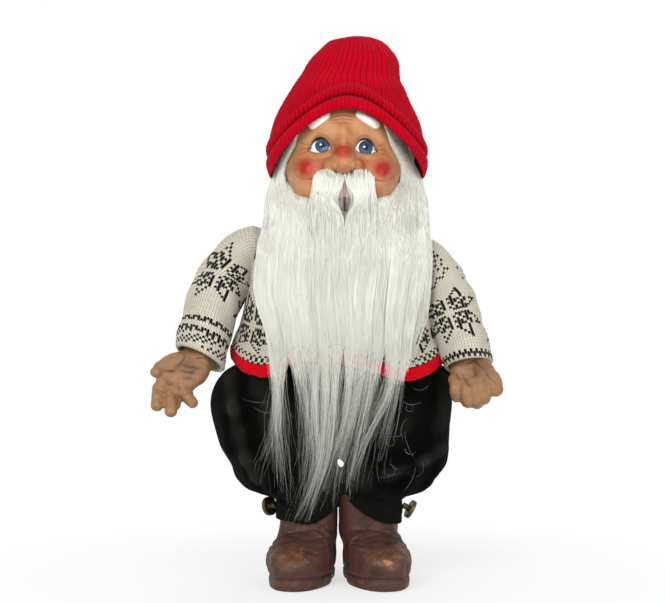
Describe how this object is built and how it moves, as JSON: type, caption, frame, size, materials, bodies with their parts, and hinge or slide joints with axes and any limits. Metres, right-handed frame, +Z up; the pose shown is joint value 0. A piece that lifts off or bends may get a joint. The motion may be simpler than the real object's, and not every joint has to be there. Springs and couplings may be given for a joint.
{
  "type": "santa figurine",
  "caption": "Standing Nordic santa doll with knit hat and sweater, long white beard, felt knickerbockers and cast boots; head, arms and hands turn.",
  "frame": {"origin": "floor level under the middle of the figure's box, with the arms and head at rest", "axes": "+Z up; the figure faces -Y; +X is to the right of a person who looks at its face"},
  "size_m": [0.2564, 0.1358, 0.3993],
  "materials": {
    "skin_casting": "painted satin",
    "boot_casting": "painted, worn",
    "red_knit": "ribbed knit",
    "cream_knit": "patterned knit",
    "red_felt": "felt",
    "black_felt": "felt",
    "white_fur": "long straight pile",
    "brass": "antique",
    "wood": "bare",
    "wire": "drawn",
    "fibre": "loose fill",
    "tie": "smooth"
  },
  "bodies": {
    "body": {"boot_left": "boot_casting", "boot_right": "boot_casting", "leg_rod_left": "wood", "leg_rod_right": "wood", "hip_block": "wood", "spine_rod": "wood", "shoulder_bar": "wood", "trousers": "black_felt", "hip_stuffing": "fibre", "cuff_left": "black_felt", "cuff_right": "black_felt", "button_left": "brass", "button_right": "brass", "sweater_body": "cream_knit", "hem_trim": "red_felt", "torso_stuffing": "fibre", "neck_tie": "tie"},
    "head": {"head": "skin_casting", "hair_back": "white_fur", "hat": "red_knit", "hat_stuffing": "fibre", "beard": "white_fur", "moustache": "white_fur"},
    "arm_left": {"sleeve_left": "cream_knit", "arm_stuffing_left": "fibre", "arm_wire_left": "wire", "wrist_tie_left": "tie"},
    "hand_left": {"hand_left": "skin_casting"},
    "arm_right": {"sleeve_right": "cream_knit", "arm_stuffing_right": "fibre", "arm_wire_right": "wire", "wrist_tie_right": "tie"},
    "hand_right": {"hand_right": "skin_casting"}
  },
  "joints": [
    {"name": "neck_turn", "type": "hinge", "parent": "body", "child": "head", "pos_m": [0.00212, 0.00618, 0.265], "axis": [0, 0, 1], "range_deg": [-20, 20], "deforming": ["beard"]},
    {"name": "shoulder_left", "type": "hinge", "parent": "body", "child": "arm_left", "pos_m": [-0.06058, 0.00618, 0.238], "axis": [-1, 0, 0], "range_deg": [-5, 90]},
    {"name": "wrist_left", "type": "hinge", "parent": "arm_left", "child": "hand_left", "pos_m": [-0.09668, -0.02321, 0.16441], "axis": [-0.2573, -0.3584, -0.8974], "range_deg": [-30, 30]},
    {"name": "shoulder_right", "type": "hinge", "parent": "body", "child": "arm_right", "pos_m": [0.06482, 0.00618, 0.238], "axis": [-1, 0, 0], "range_deg": [-5, 90]},
    {"name": "wrist_right", "type": "hinge", "parent": "arm_right", "child": "hand_right", "pos_m": [0.09666, -0.02321, 0.16434], "axis": [0.2542, -0.3584, -0.8983], "range_deg": [-30, 30]}
  ]
}
